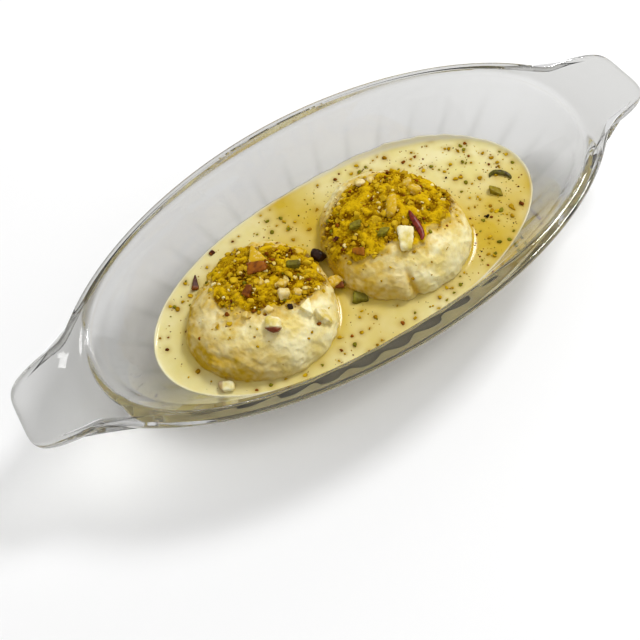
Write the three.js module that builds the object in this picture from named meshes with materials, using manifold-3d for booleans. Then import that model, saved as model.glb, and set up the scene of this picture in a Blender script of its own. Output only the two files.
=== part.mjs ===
// A dish of rasmalai: two curd patties in saffron cream, strewn with ground nuts,
// in an oval pressed-glass boat with a flat tab handle at each end.
// Millimetres, +Z up. The origin is under the middle of the dish, +X runs along it
// to the right-hand tab, and the camera side is -Y.

import * as THREE from 'three';
import { mergeVertices } from 'three/addons/utils/BufferGeometryUtils.js';
import Module from 'manifold-3d';

const wasm = await Module();
wasm.setup();

// ---------------------------------------------------------------- driving dimensions

const HALF_LENGTH = 115;        // middle of the dish to a tab's tip
const RIM_HEIGHT = 40;          // table to rim, half way along
const TAB_DROP = 5.4;           // the rim bows down by this much to the tabs' tips
const RIM_BODY = { a: 96.5, b: 48.5, n: 1.95 };   // outside of the rim without its tabs
const TAB_HALF_WIDTH = 17.8;
const TAB_SQUARENESS = 5.1;     // exponent of the tabs' rounded end
const NECK_BLEND = 4.2;         // a higher exponent makes the necks sharper
const TAB_THICKNESS = 4.4;
const RIM_ROUND = 1.8;          // rounding of the rim's edges
const MOUTH = { a: 87.3, b: 42, n: 2.23 };        // inside edge of the rim

const CREAM_LEVEL = 17.1;
const CREAM_EDGE = { a: 71.7, b: 34.85, n: 2.07 };  // inside of the wall at the cream
const FLOOR = 6;                // thickness of the glass below the cream
const FLOOR_ROUND_HEIGHT = 6;   // the wall curves into the floor over this height
const FLOOR_ROUND_WIDTH = 8;

const WALL_TOP = { a: 90.5, b: 46.2, n: 2.1 };    // outside of the wall under the rim
const FOOT = { a: 66, b: 32.5, n: 2.05 };         // flat oval base
const FOOT_CHAMFER = 1.4;
const FLUTES = 32;              // upright panels moulded round the outside
const FLUTE_DEPTH = 0.9;
const SEGMENTS_PER_FLUTE = 3;
const CORNER_WEIGHT = 12;       // packs the outline's points into its bends (mm per radian)

const GAP = 0.3;                // clearance between pieces that touch

// A patty is round in plan with a little unevenness: radius + two and three lobed terms.
const PATTY_DOME = 12;          // height above the cream
const PATTY_SQUARENESS = 2.3;   // exponent of the domed top
const BELLY_SQUARENESS = 3.2;   // exponent of the flatter side below the cream
const PATTIES = {
  patty_left: { x: -34.5, y: -1.9, radius: 25.0, lobes: [0.5, 0.6, -1.2, 0.1], seed: 11 },
  patty_right: {
    x: 17.4, y: -1.2, radius: 25.4, lobes: [-0.9, -0.6, -0.1, -0.8], folded: true, seed: 29,
  },
};
const PATTY_AROUND = 44;
const PATTY_UP = 12;
const LUMP_HEIGHT = 0.45;       // low curdled relief

// The fold where the right patty's ball was closed: a crease down its side, with a
// raised lip beside it. Its place is an angle round the patty.
const FOLD = { angle: -1.87, width: 0.08, depth: 1.2, lipWidth: 0.09, lipRise: 0.7, top: 9 };
const FOLD_CROWDING = 0.4;      // how far the skin's points gather at the fold

// ---------------------------------------------------------------- curves in plan

// Point of a superellipse's quarter, from (0, b) at t = 0 to (a, 0) at t = 1.
function ovalPoint({ a, b, n }, t) {
  const angle = (t * Math.PI) / 2;
  return new THREE.Vector2(
    a * Math.sin(angle) ** (2 / n),
    b * Math.max(0, Math.cos(angle)) ** (2 / n),
  );
}

// Point of the rim's outside quarter: an oval body that flows into a squarer tab.
function rimPoint(t) {
  const x = HALF_LENGTH * Math.sin((t * Math.PI) / 2) ** (2 / TAB_SQUARENESS);
  const body = RIM_BODY.b * Math.max(0, 1 - (x / RIM_BODY.a) ** RIM_BODY.n) ** (1 / RIM_BODY.n);
  const tabShape = Math.max(0, 1 - (x / HALF_LENGTH) ** TAB_SQUARENESS);
  const tab = TAB_HALF_WIDTH * tabShape ** (1 / TAB_SQUARENESS);
  return new THREE.Vector2(x, (body ** NECK_BLEND + tab ** NECK_BLEND) ** (1 / NECK_BLEND));
}

// Values of t that split a quarter curve evenly by its length, with extra points in bends.
function evenSteps(pointAt, count, bendWeight = 0) {
  const fine = 1500;
  const run = [0];
  let before = pointAt(0);
  let heading = 0;
  for (let k = 1; k <= fine; k += 1) {
    const here = pointAt(k / fine);
    const step = here.clone().sub(before);
    const turned = Math.abs(step.angle() - (k > 1 ? heading : step.angle()));
    const bend = Math.min(turned, 2 * Math.PI - turned);
    run.push(run[k - 1] + step.length() + bendWeight * bend);
    heading = step.angle();
    before = here;
  }
  const steps = [];
  let k = 0;
  for (let i = 0; i <= count; i += 1) {
    const goal = (run[fine] * i) / count;
    while (k < fine - 1 && run[k + 1] < goal) k += 1;
    steps.push((k + (goal - run[k]) / (run[k + 1] - run[k])) / fine);
  }
  return steps;
}

// A closed ring, counter-clockwise from (a, 0), from a quarter's points (0, b) to (a, 0).
function wholeRing(quarter) {
  const n = quarter.length - 1;
  const ring = [];
  for (let i = n; i > 0; i -= 1) ring.push(quarter[i].clone());
  for (let i = 0; i < n; i += 1) ring.push(new THREE.Vector2(-quarter[i].x, quarter[i].y));
  for (let i = n; i > 0; i -= 1) ring.push(new THREE.Vector2(-quarter[i].x, -quarter[i].y));
  for (let i = 0; i < n; i += 1) ring.push(new THREE.Vector2(quarter[i].x, -quarter[i].y));
  return ring;
}

// The ring moved outward along its normals, by one distance or by distance(index).
function offsetRing(ring, distance) {
  const n = ring.length;
  return ring.map((point, i) => {
    const along = ring[(i + 1) % n].clone().sub(ring[(i + n - 1) % n]).normalize();
    const out = typeof distance === 'function' ? distance(i) : distance;
    return new THREE.Vector2(point.x + along.y * out, point.y - along.x * out);
  });
}

// ---------------------------------------------------------------- solids from rings

// Lifts a plan ring to height z, a number or a function of x.
function lift(ring, z) {
  return ring.map((p) => new THREE.Vector3(p.x, p.y, typeof z === 'function' ? z(p.x) : z));
}

// One closed skin: a first pole, rings that run up the outside, and a last pole.
function skinOfRings(firstPole, rings, lastPole) {
  const n = rings[0].length;
  const points = [firstPole, ...rings.flat(), lastPole];
  const last = points.length - 1;
  const index = [];
  for (let i = 0; i < n; i += 1) {
    const j = (i + 1) % n;
    index.push(0, 1 + j, 1 + i);
    for (let r = 0; r < rings.length - 1; r += 1) {
      const low = 1 + r * n;
      const high = low + n;
      index.push(low + i, low + j, high + j, low + i, high + j, high + i);
    }
    index.push(last - n + i, last - n + j, last);
  }
  const geometry = new THREE.BufferGeometry();
  geometry.setAttribute('position', new THREE.Float32BufferAttribute(points.flatMap((p) => p.toArray()), 3));
  geometry.setIndex(index);
  return geometry;
}

function toSolid(geometry) {
  const bare = geometry.clone();
  bare.deleteAttribute('normal');
  bare.deleteAttribute('uv');
  const merged = mergeVertices(bare, 1e-5);
  return new wasm.Manifold(new wasm.Mesh({
    numProp: 3,
    vertProperties: Float32Array.from(merged.attributes.position.array),
    triVerts: Uint32Array.from(merged.index.array),
  }));
}

// The largest body alone: a crumb that ended up touching nothing is dropped.
function mainBody(solid) {
  return solid.decompose().reduce((best, body) => (body.volume() > best.volume() ? body : best));
}

function toGeometry(solid) {
  const mesh = mainBody(solid).getMesh();
  const geometry = new THREE.BufferGeometry();
  geometry.setAttribute('position', new THREE.Float32BufferAttribute(mesh.vertProperties, 3));
  geometry.setIndex(Array.from(mesh.triVerts));
  return geometry;
}

// A repeatable stream of numbers from 0 to 1.
function randomStream(seed) {
  let state = seed;
  return () => {
    state = (state * 1664525 + 1013904223) % 4294967296;
    return state / 4294967296;
  };
}

// ---------------------------------------------------------------- the glass dish

const rimHeightAt = (x) => RIM_HEIGHT - TAB_DROP * (x / HALF_LENGTH) ** 2;
const MOUTH_END_HEIGHT = rimHeightAt(MOUTH.a);

// Inside of the wall at height z: straight from the cream's edge up to the mouth.
function insideAt(z) {
  const up = z - CREAM_LEVEL;
  const endShare = up / (MOUTH_END_HEIGHT - CREAM_LEVEL);
  const sideShare = up / (RIM_HEIGHT - CREAM_LEVEL);
  return {
    a: CREAM_EDGE.a + (MOUTH.a - CREAM_EDGE.a) * endShare,
    b: CREAM_EDGE.b + (MOUTH.b - CREAM_EDGE.b) * sideShare,
    n: CREAM_EDGE.n + (MOUTH.n - CREAM_EDGE.n) * sideShare,
  };
}

// Inside rings from the cream's level down into the rounded floor.
function bowlRings(steps, level, clearance) {
  const rings = [];
  const ringOf = (oval) => offsetRing(wholeRing(steps.map((t) => ovalPoint(oval, t))), -clearance);
  rings.push(lift(ringOf(insideAt(level)), level));
  const turns = 4;
  for (let k = 0; k <= turns; k += 1) {
    const angle = (k / turns) * (Math.PI / 2);
    const z = FLOOR + FLOOR_ROUND_HEIGHT * (1 - Math.sin(angle));
    const oval = insideAt(z);
    oval.a -= FLOOR_ROUND_WIDTH * (1 - Math.cos(angle));
    oval.b -= FLOOR_ROUND_WIDTH * (1 - Math.cos(angle));
    rings.push(lift(ringOf(oval), z + clearance));
  }
  return rings;
}

function glassDish() {
  const quarterCount = (FLUTES * SEGMENTS_PER_FLUTE) / 4;
  const rimSteps = evenSteps(rimPoint, quarterCount, CORNER_WEIGHT);
  const wallSteps = evenSteps((t) => ovalPoint(WALL_TOP, t), quarterCount);
  const rim = wholeRing(rimSteps.map(rimPoint));
  const mouth = wholeRing(wallSteps.map((t) => ovalPoint(MOUTH, t)));
  const groove = (fade) => (i) => (i % SEGMENTS_PER_FLUTE === 0 ? -FLUTE_DEPTH * fade : 0);

  const rings = [];
  const footRing = wholeRing(wallSteps.map((t) => ovalPoint(FOOT, t)));
  rings.push(lift(offsetRing(footRing, -FOOT_CHAMFER), 0));
  rings.push(lift(footRing, FOOT_CHAMFER));
  const wallLevels = [0.12, 0.35, 0.65, 0.9];
  for (const share of wallLevels) {
    const oval = {
      a: FOOT.a + (WALL_TOP.a - FOOT.a) * share,
      b: FOOT.b + (WALL_TOP.b - FOOT.b) * share,
      n: FOOT.n + (WALL_TOP.n - FOOT.n) * share,
    };
    const plan = wholeRing(wallSteps.map((t) => ovalPoint(oval, t)));
    const height = (x) => FOOT_CHAMFER + (rimHeightAt(x) - TAB_THICKNESS - FOOT_CHAMFER) * share;
    rings.push(lift(offsetRing(plan, groove(1)), height));
  }
  const below = (drop) => (x) => rimHeightAt(x) - drop;
  const wallTop = wholeRing(wallSteps.map((t) => ovalPoint(WALL_TOP, t)));
  rings.push(lift(wallTop, below(TAB_THICKNESS)));
  rings.push(lift(offsetRing(rim, -RIM_ROUND), below(TAB_THICKNESS)));
  rings.push(lift(offsetRing(rim, -RIM_ROUND * 0.3), below(TAB_THICKNESS - RIM_ROUND * 0.3)));
  rings.push(lift(rim, below(TAB_THICKNESS - RIM_ROUND)));
  rings.push(lift(rim, below(RIM_ROUND)));
  rings.push(lift(offsetRing(rim, -RIM_ROUND * 0.3), below(RIM_ROUND * 0.3)));
  rings.push(lift(offsetRing(rim, -RIM_ROUND), below(0)));
  rings.push(lift(offsetRing(mouth, RIM_ROUND), below(0)));
  rings.push(lift(offsetRing(mouth, RIM_ROUND * 0.3), below(RIM_ROUND * 0.3)));
  rings.push(lift(mouth, below(RIM_ROUND)));
  const midWall = (CREAM_LEVEL + MOUTH_END_HEIGHT) / 2;
  rings.push(lift(wholeRing(wallSteps.map((t) => ovalPoint(insideAt(midWall), t))), midWall));
  rings.push(...bowlRings(wallSteps, CREAM_LEVEL, 0));
  return skinOfRings(new THREE.Vector3(0, 0, 0), rings, new THREE.Vector3(0, 0, FLOOR));
}

// ---------------------------------------------------------------- the patties

// Low, soft lumps of pressed curd, between -1 and 1.
function curdLumps(x, y, z) {
  return (
    Math.sin(0.42 * x + 0.3 * z) * Math.cos(0.38 * y - 0.2 * x) +
    0.6 * Math.sin(0.71 * y + 0.5 * x + 1.3) * Math.cos(0.66 * z + 0.3 * y)
  ) / 1.6;
}

// How far the fold moves the skin out, at an angle from it and a height above the cream.
function foldRelief(fromFold, z) {
  const fade = Math.min(1, Math.max(0, FOLD.top - z) / 2);
  const crease = FOLD.depth * Math.exp(-((fromFold / FOLD.width) ** 2));
  const lip = FOLD.lipRise * Math.exp(-(((fromFold + 1.6 * FOLD.width) / FOLD.lipWidth) ** 2));
  return fade * (lip - crease);
}

// Point of a patty's skin. across goes round it; up goes from its underside to its top.
function pattyPoint(patty, turn, up, grow) {
  const across = patty.folded ? turn - FOLD_CROWDING * Math.sin(turn - FOLD.angle) : turn;
  const [c2, s2, c3, s3] = patty.lobes;
  const plan = patty.radius + c2 * Math.cos(2 * across) + s2 * Math.sin(2 * across)
    + c3 * Math.cos(3 * across) + s3 * Math.sin(3 * across);
  const belly = CREAM_LEVEL - FLOOR - GAP;
  const tilt = (up - 0.5) * Math.PI;
  const above = tilt > 0;
  const power = 2 / (above ? PATTY_SQUARENESS : BELLY_SQUARENESS);
  const height = above ? PATTY_DOME : belly;
  const reach = Math.max(0, Math.cos(tilt)) ** power;
  const rise = Math.sign(tilt) * Math.abs(Math.sin(tilt)) ** power;
  const lump = LUMP_HEIGHT * (above ? curdLumps(plan * reach * Math.cos(across) + patty.x,
    plan * reach * Math.sin(across) + patty.y, height * rise) : 0);
  const fromFold = Math.atan2(Math.sin(across - FOLD.angle), Math.cos(across - FOLD.angle));
  const fold = patty.folded && above ? foldRelief(fromFold, height * rise) : 0;
  const radius = (plan + grow + (lump + fold) * reach) * reach;
  return new THREE.Vector3(
    patty.x + radius * Math.cos(across),
    patty.y + radius * Math.sin(across),
    CREAM_LEVEL + (height + (above ? grow : 0)) * rise + lump * rise,
  );
}

function pattySkin(patty, grow, dig = 0) {
  const rings = [];
  for (let k = 1; k < PATTY_UP; k += 1) {
    const ring = [];
    for (let i = 0; i < PATTY_AROUND; i += 1) {
      const point = pattyPoint(patty, (i / PATTY_AROUND) * 2 * Math.PI, k / PATTY_UP, grow);
      if (k < PATTY_UP / 2) point.z -= dig;
      ring.push(point);
    }
    rings.push(ring);
  }
  const bottom = pattyPoint(patty, 0, 0, grow);
  bottom.z -= dig;
  return skinOfRings(bottom, rings, pattyPoint(patty, 0, 1, grow));
}

// ---------------------------------------------------------------- nuts and crumbs

// A chip of nut or a crumb: a rough lump of 20 faces, [length, width, height] across.
function crumb([length, width, height], turn, random) {
  const geometry = new THREE.IcosahedronGeometry(0.5, 0);
  geometry.deleteAttribute('normal');
  geometry.deleteAttribute('uv');
  const lump = mergeVertices(geometry, 1e-4);
  const place = lump.attributes.position;
  for (let i = 0; i < place.count; i += 1) {
    const rough = 0.85 + 0.3 * random();
    place.setXYZ(i, place.getX(i) * rough, place.getY(i) * rough, place.getZ(i) * rough);
  }
  lump.scale(length, width, height);
  lump.rotateX((random() - 0.5) * 0.7);
  lump.rotateZ(turn);
  return lump;
}

// A cut almond or pistachio: a block with its long edges trimmed.
function nutBlock([length, width, height], turn, tip) {
  const shape = new THREE.Shape();
  const trim = Math.min(length, width) * 0.22;
  const [u, v] = [length / 2, width / 2];
  shape.moveTo(-u + trim, -v);
  shape.lineTo(u - trim, -v);
  shape.lineTo(u, -v + trim);
  shape.lineTo(u, v - trim);
  shape.lineTo(u - trim, v);
  shape.lineTo(-u + trim, v);
  shape.lineTo(-u, v - trim);
  shape.lineTo(-u, -v + trim);
  const block = new THREE.ExtrudeGeometry(shape, { depth: height, bevelEnabled: false });
  block.translate(0, 0, -height / 2);
  block.rotateX(tip);
  block.rotateZ(turn);
  return block;
}

// The pieces of nut that can be told apart: place on the patty from its middle, size, turn.
const NUTS = {
  patty_left: [
    { at: [-0.9, -10.8], size: [4.6, 4.0, 2.6], turn: 0.4 },     // almond in its skin
    { at: [10.5, -11.1], size: [4.4, 2.6, 2.0], turn: 0.9 },     // white chip
    { at: [14.1, -15.1], size: [3.6, 3.0, 2.0], turn: 0.3 },     // beige chip
    { at: [5.1, 9.3], size: [5.2, 2.6, 2.6], turn: 0.2 },        // rust-coloured almond skin
    { at: [7.1, 14.4], size: [5.0, 2.2, 1.8], turn: 1.2 },       // pale shard
    { at: [15.1, 4.7], size: [3.4, 3.0, 2.4], turn: 0.7 },       // green pistachio
    { at: [7.0, -4.3], size: [3.0, 2.8, 2.4], turn: 0.2 },       // pale cube
    { at: [-2.1, 3.6], size: [3.2, 2.4, 2.2], turn: 1.9 },       // brown chip
  ],
  patty_right: [
    { at: [-1.7, -9.6], size: [3.4, 6.4, 2.8], turn: -0.35 },    // white almond block
    { at: [3.6, -6.7], size: [1.6, 8.2, 1.8], turn: 0.25 },      // red almond-skin sliver
    { at: [1.0, 2.4], size: [3.2, 7.6, 2.6], turn: -0.35 },      // pale yellow baton
    { at: [12.3, 5.3], size: [4.6, 4.0, 2.4], turn: 0.8 },       // pale chip
    { at: [-0.2, 18.0], size: [4.4, 3.0, 2.0], turn: 0.5 },      // pale chip at the back
    { at: [-6.1, -3.4], size: [3.2, 3.0, 2.4], turn: 0.5 },      // green pistachio
    { at: [-11.3, 4.2], size: [3.0, 2.8, 2.2], turn: 1.1 },      // green pistachio
    { at: [-22.4, 6.9], size: [4.2, 5.0, 4.2], turn: 0.6 },      // dark brown nut in the gap
    { at: [-21.3, 1.5], size: [4.0, 4.2, 3.2], turn: 0.1 },      // orange crumb cluster
  ],
};
const CRUMBS_PER_PATTY = 34;
const CRUMB_SIZE = [1.8, 3.2];          // smallest and largest, across
const CRUMB_CENTRES = { patty_left: [4.5, 4.5], patty_right: [0.5, 2.5] };
const CRUMB_REACH = 17;
const CRUMB_FREE_EDGE = 4;              // no crumbs this near a patty's edge
const CRUMB_ATTEMPTS = 600;

// Height of a patty's skin above the cream, at a place from its middle.
function domeHeight(patty, x, y) {
  const share = Math.min(0.98, Math.hypot(x, y) / patty.radius);
  return PATTY_DOME * (1 - share ** PATTY_SQUARENESS) ** (1 / PATTY_SQUARENESS);
}

function toppedPatty(name) {
  const patty = PATTIES[name];
  const random = randomStream(patty.seed);
  let solid = toSolid(pattySkin(patty, 0));
  const settle = (piece, x, y, sink) => {
    piece.translate(patty.x + x, patty.y + y, CREAM_LEVEL + domeHeight(patty, x, y) + sink);
    solid = solid.add(toSolid(piece));
  };
  for (const nut of NUTS[name]) {
    const piece = nutBlock(nut.size, nut.turn, 0.12);
    settle(piece, nut.at[0], nut.at[1], nut.size[2] * 0.18);
  }
  const taken = NUTS[name].map((nut) => nut.at);
  const [middleX, middleY] = CRUMB_CENTRES[name];
  const [smallest, largest] = CRUMB_SIZE;
  let placed = 0;
  for (let attempt = 0; attempt < CRUMB_ATTEMPTS && placed < CRUMBS_PER_PATTY; attempt += 1) {
    const reach = CRUMB_REACH * Math.sqrt(random());
    const angle = 2 * Math.PI * random();
    const x = middleX + reach * Math.cos(angle);
    const y = middleY + reach * Math.sin(angle);
    const size = largest + (smallest - largest) * Math.sqrt(placed / CRUMBS_PER_PATTY);
    const clear = taken.every(([u, v]) => Math.hypot(u - x, v - y) > size * 0.9 + 0.8);
    if (clear && Math.hypot(x, y) < patty.radius - CRUMB_FREE_EDGE) {
      settle(crumb([size, size * 0.85, size * 0.75], angle, random), x, y, 0.1);
      taken.push([x, y]);
      placed += 1;
    }
  }
  return toGeometry(solid);
}

// ---------------------------------------------------------------- the cream

// What floats in the cream: place in the dish, size, turn.
const FLOATERS = [
  { at: [62.4, -2.5], size: [5.6, 3.0, 2.2], turn: -0.5 },     // pistachio slice
  { at: [57.6, -5.9], size: [4.6, 3.4, 2.0], turn: 0.3 },      // pistachio slice
  { at: [-4.8, -15.1], size: [5.0, 3.0, 2.2], turn: -0.7 },    // pistachio by the right patty
  { at: [-57.2, -17.6], size: [4.2, 3.0, 2.4], turn: 0.5 },    // almond piece at the left
  { at: [-48.2, 21.6], size: [5.4, 2.0, 1.8], turn: 0.9 },     // dark sliver
  { at: [60.9, -15.5], size: [2.4, 2.0, 1.8], turn: 0.2 },
  { at: [53.8, -13.6], size: [2.2, 1.8, 1.6], turn: 1.1 },
  { at: [48.4, -12.9], size: [2.2, 1.8, 1.6], turn: 0.7 },
  { at: [45.5, -23.0], size: [2.0, 1.8, 1.6], turn: 0.4 },
  { at: [59.2, 14.7], size: [2.2, 1.8, 1.6], turn: 2.0 },
  { at: [-15.7, -28.4], size: [2.4, 2.0, 1.6], turn: 0.9 },
  { at: [-4.9, -23.6], size: [2.2, 1.8, 1.6], turn: 1.6 },
];

function creamPool() {
  const steps = evenSteps((t) => ovalPoint(CREAM_EDGE, t), 18);
  const rings = bowlRings(steps, CREAM_LEVEL, GAP).reverse();
  const bottom = new THREE.Vector3(0, 0, FLOOR + GAP);
  let solid = toSolid(skinOfRings(bottom, rings, new THREE.Vector3(0, 0, CREAM_LEVEL)));
  for (const floater of FLOATERS) {
    const piece = nutBlock(floater.size, floater.turn, 0.1);
    piece.translate(floater.at[0], floater.at[1], CREAM_LEVEL);
    solid = solid.add(toSolid(piece));
  }
  const deeper = 4;   // the patties stand on the glass, so their pockets go right through
  for (const patty of Object.values(PATTIES)) {
    solid = solid.subtract(toSolid(pattySkin(patty, GAP * 1.6, deeper)));
  }
  return toGeometry(solid);
}

// ---------------------------------------------------------------- the whole dish

const group = new THREE.Group();

function addPiece(name, geometry, look) {
  const piece = new THREE.Mesh(geometry, new THREE.MeshStandardMaterial(look));
  piece.name = name;
  group.add(piece);
}

addPiece('glass_dish', glassDish(), {
  color: 0xdfe3e2, roughness: 0.05, metalness: 0, transparent: true, opacity: 0.45,
});
addPiece('cream', creamPool(), { color: 0xf0e2a2, roughness: 0.25, metalness: 0 });
addPiece('patty_left', toppedPatty('patty_left'), { color: 0xeadfa6, roughness: 0.6, metalness: 0 });
addPiece('patty_right', toppedPatty('patty_right'), { color: 0xeadfa6, roughness: 0.6, metalness: 0 });

export default group;
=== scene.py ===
import math

import bmesh
import bpy
import numpy as np
from mathutils import Matrix, Vector


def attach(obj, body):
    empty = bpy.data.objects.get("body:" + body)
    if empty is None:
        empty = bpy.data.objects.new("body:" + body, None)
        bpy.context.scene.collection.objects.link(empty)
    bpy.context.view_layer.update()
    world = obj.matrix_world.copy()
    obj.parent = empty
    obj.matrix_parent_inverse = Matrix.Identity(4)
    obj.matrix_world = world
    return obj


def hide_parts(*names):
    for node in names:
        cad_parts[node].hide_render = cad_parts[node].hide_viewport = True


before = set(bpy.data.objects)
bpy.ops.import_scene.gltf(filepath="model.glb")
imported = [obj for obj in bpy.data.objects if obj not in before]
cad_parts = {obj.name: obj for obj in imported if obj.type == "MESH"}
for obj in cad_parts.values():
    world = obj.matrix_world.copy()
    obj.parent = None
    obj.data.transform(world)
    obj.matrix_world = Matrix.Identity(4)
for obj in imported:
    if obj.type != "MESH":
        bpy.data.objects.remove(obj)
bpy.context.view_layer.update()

MM = 0.001  # sizes below are millimetres, Blender's units are metres


# ------------------------ the glass boat
# A clear soda-lime glass boat, pressed in a mould in one piece with its two tab
# handles, then fire-polished, which leaves every edge soft. Upright panels are
# moulded round the outside, and the foot is a little hollow, so it stands on a line.

HALF_LENGTH = 115.0
RIM_HEIGHT = 40.0
TAB_DROP = 5.4  # the rim bows down by this much to the tabs' tips
TAB_THICKNESS = 4.4
RIM_ROUND = 1.8
SIDE_THICKNESS = 2.2  # of the rim along the sides, where the wall flows into it
SIDE_ROUND = 0.9
RIM_BODY = (96.5, 48.5, 1.95)  # half length, half width, exponent
TAB_HALF_WIDTH = 17.8
TAB_SQUARENESS = 5.1
NECK_BLEND = 4.2
CORNER_WEIGHT = 12.0
MOUTH = (87.3, 42.0, 2.23)
CREAM_LEVEL = 17.1
CREAM_EDGE = (71.7, 34.85, 2.07)
FLOOR = 6.0
FLOOR_ROUND_HEIGHT = 6.0
FLOOR_ROUND_WIDTH = 8.0
WALL_TOP = (90.5, 46.2, 2.1)
FOOT = (66.0, 32.5, 2.05)
FOOT_ROUND = 1.4
FOOT_LINE = 2.2  # the line it stands on, in from the foot's edge
FOOT_HOLLOW = 0.6
FOOT_HOLLOW_EDGE = 7.0
FLUTES = 32  # upright panels round the outside, a groove between each
FLUTE_DEPTH = 0.5
GROOVE_SOFTNESS = 0.15
GROOVE_RISE = (0.0, 0.15, 0.4, 0.8)  # shares of the wall's height: fades in, and out
GROOVE_PAINTED_SHADE_WIDTH = 0.38  # share of a panel painted greyer at a groove, as painted shade
GROOVE_PAINTED_SHADE_RISE = (0.1, 0.25, 0.35, 0.9)
AROUND_PER_FLUTE = 20
WALL_STEPS = 36
EDGE_STEPS = 6
SIDE_GAP = (3.0, 7.0)  # gap from wall to rim where the sides' thin rim ends
GAP_SMOOTHING = 9  # points either way
GLASS_AROUND = FLUTES * AROUND_PER_FLUTE


def smooth_step(low, high, value):
    share = np.clip((value - low) / (high - low), 0, 1)
    return share * share * (3 - 2 * share)


def oval_quarter(oval, t):
    """Points of a superellipse from (0, b) at t = 0 to (a, 0) at t = 1."""
    a, b, n = oval
    angle = t * math.pi / 2
    x = a * np.sin(angle) ** (2 / n)
    y = b * np.maximum(0, np.cos(angle)) ** (2 / n)
    return np.stack([x, y], axis=1)


def rim_quarter(t):
    """The rim's outside: an oval that flows through a neck into a squarer tab."""
    a, b, n = RIM_BODY
    x = HALF_LENGTH * np.sin(t * math.pi / 2) ** (2 / TAB_SQUARENESS)
    body = b * np.maximum(0, 1 - np.minimum(x / a, 1) ** n) ** (1 / n)
    tab_shape = np.maximum(0, 1 - (x / HALF_LENGTH) ** TAB_SQUARENESS)
    tab = TAB_HALF_WIDTH * tab_shape ** (1 / TAB_SQUARENESS)
    y = (body ** NECK_BLEND + tab ** NECK_BLEND) ** (1 / NECK_BLEND)
    return np.stack([x, y], axis=1)


def even_steps(quarter, count, bend_weight=0.0):
    """Values of t that split a quarter evenly by its length and its bends."""
    t = np.linspace(0, 1, 20001)
    steps = np.diff(quarter(t), axis=0)
    heading = np.unwrap(np.arctan2(steps[:, 1], steps[:, 0]))
    bends = np.abs(np.diff(heading, prepend=heading[0]))
    run = np.concatenate([[0], np.cumsum(np.hypot(*steps.T) + bend_weight * bends)])
    return np.interp(np.linspace(0, run[-1], count + 1), run, t)


def whole_ring(quarter):
    """A closed ring, counter-clockwise from (a, 0), from a quarter (0, b) to (a, 0)."""
    back = quarter[:0:-1]
    ahead = quarter[:-1]
    return np.concatenate([back, ahead * (-1, 1), back * (-1, -1), ahead * (1, -1)])


def unit(vectors):
    return vectors / np.linalg.norm(vectors, axis=-1, keepdims=True)


def offset_ring(ring, distance):
    """The ring moved outward along its normals."""
    along = unit(np.roll(ring, -1, axis=0) - np.roll(ring, 1, axis=0))
    normal = np.stack([along[:, 1], -along[:, 0]], axis=1)
    return ring + normal * np.reshape(distance, (-1, 1))


def rim_height_at(x):
    return RIM_HEIGHT - TAB_DROP * (x / HALF_LENGTH) ** 2


def inside_at(z):
    """The inside of the wall at height z: straight from the cream's edge to the mouth."""
    end_share = (z - CREAM_LEVEL) / (rim_height_at(MOUTH[0]) - CREAM_LEVEL)
    side_share = (z - CREAM_LEVEL) / (RIM_HEIGHT - CREAM_LEVEL)
    a = CREAM_EDGE[0] + (MOUTH[0] - CREAM_EDGE[0]) * end_share
    b = CREAM_EDGE[1] + (MOUTH[1] - CREAM_EDGE[1]) * side_share
    n = CREAM_EDGE[2] + (MOUTH[2] - CREAM_EDGE[2]) * side_share
    return a, b, n


def lift(ring, z):
    """A plan ring raised to height z, which is a number or one height a point."""
    return np.column_stack([ring, np.broadcast_to(z, len(ring))])


def quarter_turn(steps):
    """Cosine and sine along a rounded edge, from 0 to 90 degrees."""
    angles = [k / steps * math.pi / 2 for k in range(steps + 1)]
    return [(math.cos(angle), math.sin(angle)) for angle in angles]


def floor_rings(steps, turns, reach):
    """Rings from the wall into the rounded floor, reach millimetres into the glass."""
    rings = []
    for across, up in quarter_turn(turns):
        z = FLOOR + FLOOR_ROUND_HEIGHT * (1 - up)
        a, b, n = inside_at(z)
        inset = FLOOR_ROUND_WIDTH * (1 - across)
        plan = whole_ring(oval_quarter((a - inset, b - inset, n), steps))
        rings.append(lift(offset_ring(plan, reach), z - reach))
    return rings


def new_piece(name, points, faces, smooth=True):
    """An object from points in millimetres."""
    mesh = bpy.data.meshes.new(name)
    mesh.from_pydata((np.asarray(points) * MM).tolist(), [], faces)
    if smooth:
        mesh.shade_smooth()
    piece = bpy.data.objects.new(name, mesh)
    bpy.context.scene.collection.objects.link(piece)
    return piece


def skin(name, first_pole, rings, last_pole):
    """One closed, smooth mesh from a pole, rings up the outside, and a last pole."""
    count = len(rings[0])
    i = np.arange(count)
    j = (i + 1) % count
    faces = np.column_stack([0 * i, 1 + j, 1 + i]).tolist()
    for r in range(len(rings) - 1):
        low = 1 + r * count
        high = low + count
        faces += np.column_stack([low + i, low + j, high + j, high + i]).tolist()
    last = 1 + len(rings) * count
    faces += np.column_stack([last - count + i, last - count + j, last + 0 * i]).tolist()
    return new_piece(name, np.concatenate([[first_pole], *rings, [last_pole]]), faces)


def keep_on_points(piece, name, values):
    """Stores a value a point, which the materials read by name."""
    attribute = piece.data.attributes.new(name, "FLOAT", "POINT")
    attribute.data.foreach_set("value", np.asarray(values, np.float32))


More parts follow.
